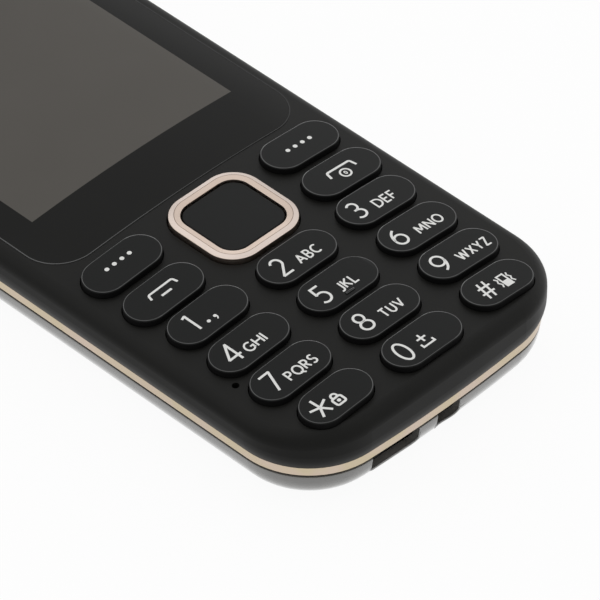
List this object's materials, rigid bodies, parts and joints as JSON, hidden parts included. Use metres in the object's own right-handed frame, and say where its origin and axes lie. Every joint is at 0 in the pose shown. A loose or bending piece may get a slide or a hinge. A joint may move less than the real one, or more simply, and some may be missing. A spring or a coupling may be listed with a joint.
{
  "type": "mobile phone",
  "caption": "Bar-shaped keypad mobile phone with a colour display, square navigation key, gold trim band and clip-fitted back cover.",
  "frame": {"origin": "on the floor under the middle of the phone, which lies on its back", "axes": "+X to the phone's right seen from the front, +Y to its top end, +Z out of the keys"},
  "size_m": [0.0512, 0.1192, 0.0146],
  "materials": {
    "shell_black": "fine matt moulded black",
    "trim_gold": "satin champagne plating with a bright lower bevel",
    "ring_gold": "satin rose-gold plating with a bright outer bevel",
    "housing_black": "matt moulded black",
    "cover_gloss": "gloss dark cover",
    "lens_clear": "clear moulded window",
    "mask_black": "black adhesive frame",
    "display_grey": "unlit display",
    "frame_white": "white moulding",
    "board_green": "green solder resist",
    "film_clear": "clear film",
    "mat_silicone": "translucent grey silicone",
    "rubber_black": "black foam and rubber",
    "dome_steel": "spring steel domes",
    "key_black": "satin black keycap with white legend",
    "speaker_black": "black moulding",
    "mesh_steel": "dark woven mesh",
    "socket_steel": "tinned pressed steel",
    "weight_steel": "sintered weight",
    "screw_steel": "blackened screw",
    "led_white": "white lamp with a yellow phosphor",
    "battery_skin": "grey battery wrap",
    "contact_brass": "gold-plated springs"
  },
  "bodies": {
    "root": {"front_shell": "shell_black", "trim_band": "trim_gold", "rear_housing": "housing_black", "display_lens": "lens_clear", "lens_tape": "mask_black", "display_gasket": "rubber_black", "lcd_panel": "display_grey", "backlight_unit": "frame_white", "circuit_board": "board_green", "dome_sheet": "film_clear", "keypad_mat": "mat_silicone", "key_domes": "dome_steel", "earpiece": "speaker_black", "earpiece_mesh": "mesh_steel", "loudspeaker": "speaker_black", "speaker_mesh": "mesh_steel", "microphone": "socket_steel", "microphone_boot": "rubber_black", "vibration_motor": "socket_steel", "port_board": "board_green", "usb_socket": "socket_steel", "audio_jack": "housing_black", "camera_module": "speaker_black", "camera_window": "lens_clear", "torch_led": "led_white", "torch_lens": "lens_clear", "antenna": "frame_white", "shield_can": "socket_steel", "sim_socket_1": "socket_steel", "sim_socket_2": "socket_steel", "memory_card_socket": "socket_steel", "battery": "battery_skin", "battery_contacts": "contact_brass", "housing_screws": "screw_steel"},
    "battery_cover": {"battery_cover": "cover_gloss"},
    "call_key": {"call_key": "key_black"},
    "end_key": {"end_key": "key_black"},
    "key_0": {"key_0": "key_black"},
    "key_1": {"key_1": "key_black"},
    "key_2": {"key_2": "key_black"},
    "key_3": {"key_3": "key_black"},
    "key_4": {"key_4": "key_black"},
    "key_5": {"key_5": "key_black"},
    "key_6": {"key_6": "key_black"},
    "key_7": {"key_7": "key_black"},
    "key_8": {"key_8": "key_black"},
    "key_9": {"key_9": "key_black"},
    "key_hash": {"key_hash": "key_black"},
    "key_star": {"key_star": "key_black"},
    "nav_ring": {"nav_ring": "ring_gold"},
    "nav_web": {"nav_web": "housing_black"},
    "ok_key": {"ok_key": "key_black"},
    "soft_key_left": {"soft_key_left": "key_black"},
    "soft_key_right": {"soft_key_right": "key_black"},
    "vibration_weight": {"vibration_weight": "weight_steel"}
  },
  "joints": [
    {"name": "press_soft_key_left", "type": "slide", "parent": "root", "child": "soft_key_left", "axis": [0, 0, -1], "range_m": [0, 0.00035], "stiffness_N_per_m": 900},
    {"name": "press_soft_key_right", "type": "slide", "parent": "root", "child": "soft_key_right", "axis": [0, 0, -1], "range_m": [0, 0.00035], "stiffness_N_per_m": 900},
    {"name": "press_call_key", "type": "slide", "parent": "root", "child": "call_key", "axis": [0, 0, -1], "range_m": [0, 0.00035], "stiffness_N_per_m": 900},
    {"name": "press_end_key", "type": "slide", "parent": "root", "child": "end_key", "axis": [0, 0, -1], "range_m": [0, 0.00035], "stiffness_N_per_m": 900},
    {"name": "press_key_1", "type": "slide", "parent": "root", "child": "key_1", "axis": [0, 0, -1], "range_m": [0, 0.00035], "stiffness_N_per_m": 900},
    {"name": "press_key_2", "type": "slide", "parent": "root", "child": "key_2", "axis": [0, 0, -1], "range_m": [0, 0.00035], "stiffness_N_per_m": 900},
    {"name": "press_key_3", "type": "slide", "parent": "root", "child": "key_3", "axis": [0, 0, -1], "range_m": [0, 0.00035], "stiffness_N_per_m": 900},
    {"name": "press_key_4", "type": "slide", "parent": "root", "child": "key_4", "axis": [0, 0, -1], "range_m": [0, 0.00035], "stiffness_N_per_m": 900},
    {"name": "press_key_5", "type": "slide", "parent": "root", "child": "key_5", "axis": [0, 0, -1], "range_m": [0, 0.00035], "stiffness_N_per_m": 900},
    {"name": "press_key_6", "type": "slide", "parent": "root", "child": "key_6", "axis": [0, 0, -1], "range_m": [0, 0.00035], "stiffness_N_per_m": 900},
    {"name": "press_key_7", "type": "slide", "parent": "root", "child": "key_7", "axis": [0, 0, -1], "range_m": [0, 0.00035], "stiffness_N_per_m": 900},
    {"name": "press_key_8", "type": "slide", "parent": "root", "child": "key_8", "axis": [0, 0, -1], "range_m": [0, 0.00035], "stiffness_N_per_m": 900},
    {"name": "press_key_9", "type": "slide", "parent": "root", "child": "key_9", "axis": [0, 0, -1], "range_m": [0, 0.00035], "stiffness_N_per_m": 900},
    {"name": "press_key_star", "type": "slide", "parent": "root", "child": "key_star", "axis": [0, 0, -1], "range_m": [0, 0.00035], "stiffness_N_per_m": 900},
    {"name": "press_key_0", "type": "slide", "parent": "root", "child": "key_0", "axis": [0, 0, -1], "range_m": [0, 0.00035], "stiffness_N_per_m": 900},
    {"name": "press_key_hash", "type": "slide", "parent": "root", "child": "key_hash", "axis": [0, 0, -1], "range_m": [0, 0.00035], "stiffness_N_per_m": 900},
    {"name": "press_ok_key", "type": "slide", "parent": "root", "child": "ok_key", "axis": [0, 0, -1], "range_m": [0, 0.00035], "stiffness_N_per_m": 900},
    {"name": "nav_tilt_up_down", "type": "hinge", "parent": "root", "child": "nav_web", "pos_m": [0, -0.0197, 0.00992], "axis": [1, 0, 0], "range_deg": [-2, 2], "stiffness_Nm_per_rad": 0.2},
    {"name": "nav_tilt_left_right", "type": "hinge", "parent": "nav_web", "child": "nav_ring", "pos_m": [0, -0.0197, 0.00992], "axis": [0, 1, 0], "range_deg": [-2, 2], "stiffness_Nm_per_rad": 0.2},
    {"name": "cover_pull_off", "type": "slide", "parent": "root", "child": "battery_cover", "axis": [0, 0, -1], "range_m": [0, 0.03]},
    {"name": "motor_spin", "type": "hinge", "parent": "root", "child": "vibration_weight", "pos_m": [0.0148, -0.0485, 0.00435], "axis": [1, 0, 0], "continuous": true}
  ]
}
